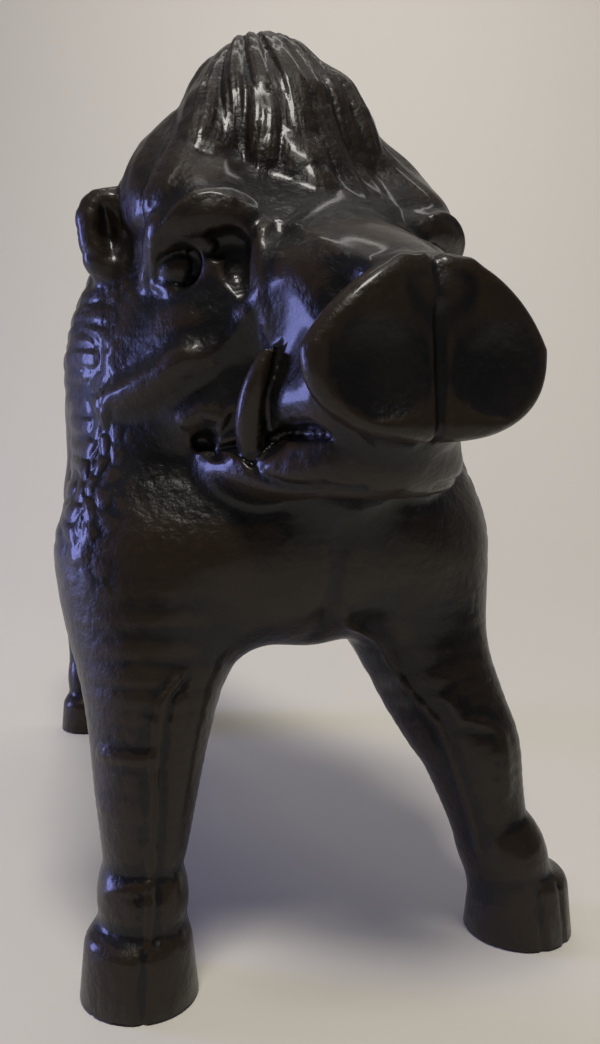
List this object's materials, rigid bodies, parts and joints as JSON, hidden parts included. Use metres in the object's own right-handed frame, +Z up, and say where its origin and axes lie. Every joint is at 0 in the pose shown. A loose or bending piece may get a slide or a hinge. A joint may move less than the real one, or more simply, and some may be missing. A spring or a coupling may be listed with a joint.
{
  "type": "boar statuette",
  "caption": "Hollow cast iron boar standing on its own hooves, with a raised mane, flat snout disc and tusks.",
  "frame": {"origin": "on the ground plane through the soles, under the middle of the figure's box", "axes": "+Z up, the boar faces -Y with its tail towards +Y, its left side is +X"},
  "size_m": [0.1134, 0.244, 0.2086],
  "materials": {
    "painted_iron": "glossy dark brown-black paint over cast iron, rubbed warm brown on the ridges"
  },
  "bodies": {
    "root": {"boar": "painted_iron"}
  },
  "joints": []
}
